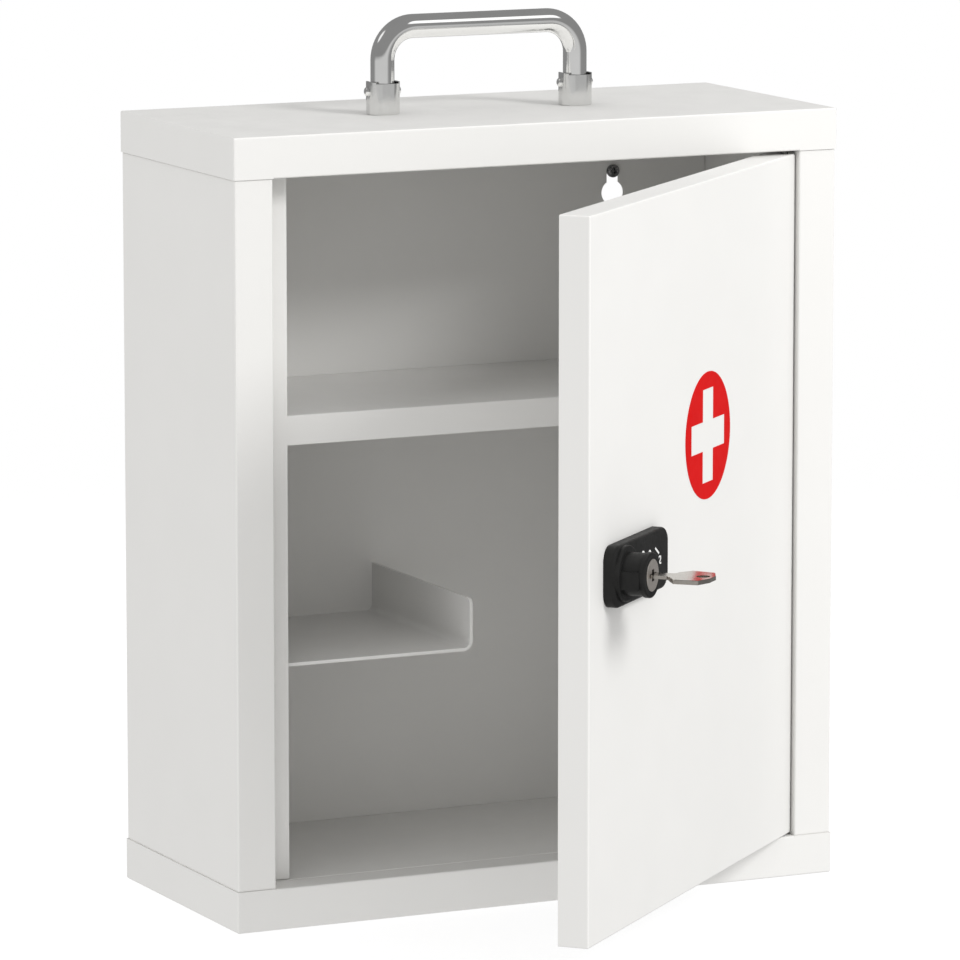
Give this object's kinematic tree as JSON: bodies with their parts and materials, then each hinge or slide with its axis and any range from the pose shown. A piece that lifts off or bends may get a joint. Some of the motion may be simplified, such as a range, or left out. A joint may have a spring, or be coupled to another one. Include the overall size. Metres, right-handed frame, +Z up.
{
  "type": "lockable medicine cabinet",
  "caption": "Small steel medicine cabinet with a lockable hinged door, a shelf and a half tray inside, a fold-down carrying handle on top and keyholes for hanging.",
  "frame": {"origin": "bottom centre of the cabinet, on the surface it stands on, midway across its width and its depth", "axes": "+X to the right seen from the front, +Y to the back, +Z up"},
  "size_m": [0.304, 0.3511, 0.4063],
  "materials": {
    "enamel": "semi-gloss white powder coat",
    "zinc_steel": "bright zinc plated",
    "wall_screw_steel": "black phosphated",
    "nylon": "natural nylon",
    "red_vinyl": "satin self-adhesive vinyl",
    "black_plastic": "fine-grained moulding",
    "lock_nickel": "turned and nickel plated",
    "brass": "stamped brass",
    "key_steel": "nickel plated",
    "chrome": "bright chrome plated"
  },
  "bodies": {
    "cabinet": {"bottom_cap": "enamel", "top_cap": "enamel", "left_side": "enamel", "right_side": "enamel", "back_panel": "enamel", "floor_plate": "enamel", "shelf": "enamel", "tray": "enamel", "hinge_pin_lower": "zinc_steel", "hinge_pin_upper": "zinc_steel", "hinge_washer": "zinc_steel", "handle_screws": "zinc_steel", "handle_washers": "zinc_steel", "wall_screws": "wall_screw_steel", "handle_foot_left": "chrome", "handle_foot_right": "chrome", "handle_pin_left": "chrome", "handle_pin_right": "chrome"},
    "door": {"door_panel": "enamel", "hinge_bush_lower": "nylon", "hinge_bush_upper": "nylon", "cross_sticker": "red_vinyl", "lock_escutcheon": "black_plastic", "lock_housing": "black_plastic", "lock_washer": "zinc_steel", "lock_nut": "zinc_steel"},
    "lock_core": {"lock_plug": "lock_nickel", "lock_wafers": "brass", "lock_cam": "zinc_steel", "cam_washer": "zinc_steel", "cam_screw": "zinc_steel"},
    "key": {"key": "key_steel"},
    "handle": {"handle_bow": "chrome"}
  },
  "joints": [
    {"name": "door_swing", "type": "hinge", "parent": "cabinet", "child": "door", "pos_m": [0.127, -0.0609, 0.18], "axis": [0, 0, 1], "range_deg": [-42.3, 57.7]},
    {"name": "lock_turn", "type": "hinge", "parent": "door", "child": "lock_core", "pos_m": [-0.03991, -0.21818, 0.1814], "axis": [0.673, -0.7396, 0], "range_deg": [0, 90]},
    {"name": "key_pull", "type": "slide", "parent": "lock_core", "child": "key", "axis": [0.673, -0.7396, 0], "range_m": [0, 0.03]},
    {"name": "handle_fold", "type": "hinge", "parent": "cabinet", "child": "handle", "pos_m": [0, 0.0001, 0.3716], "axis": [-1, 0, 0], "range_deg": [0, 90]}
  ]
}
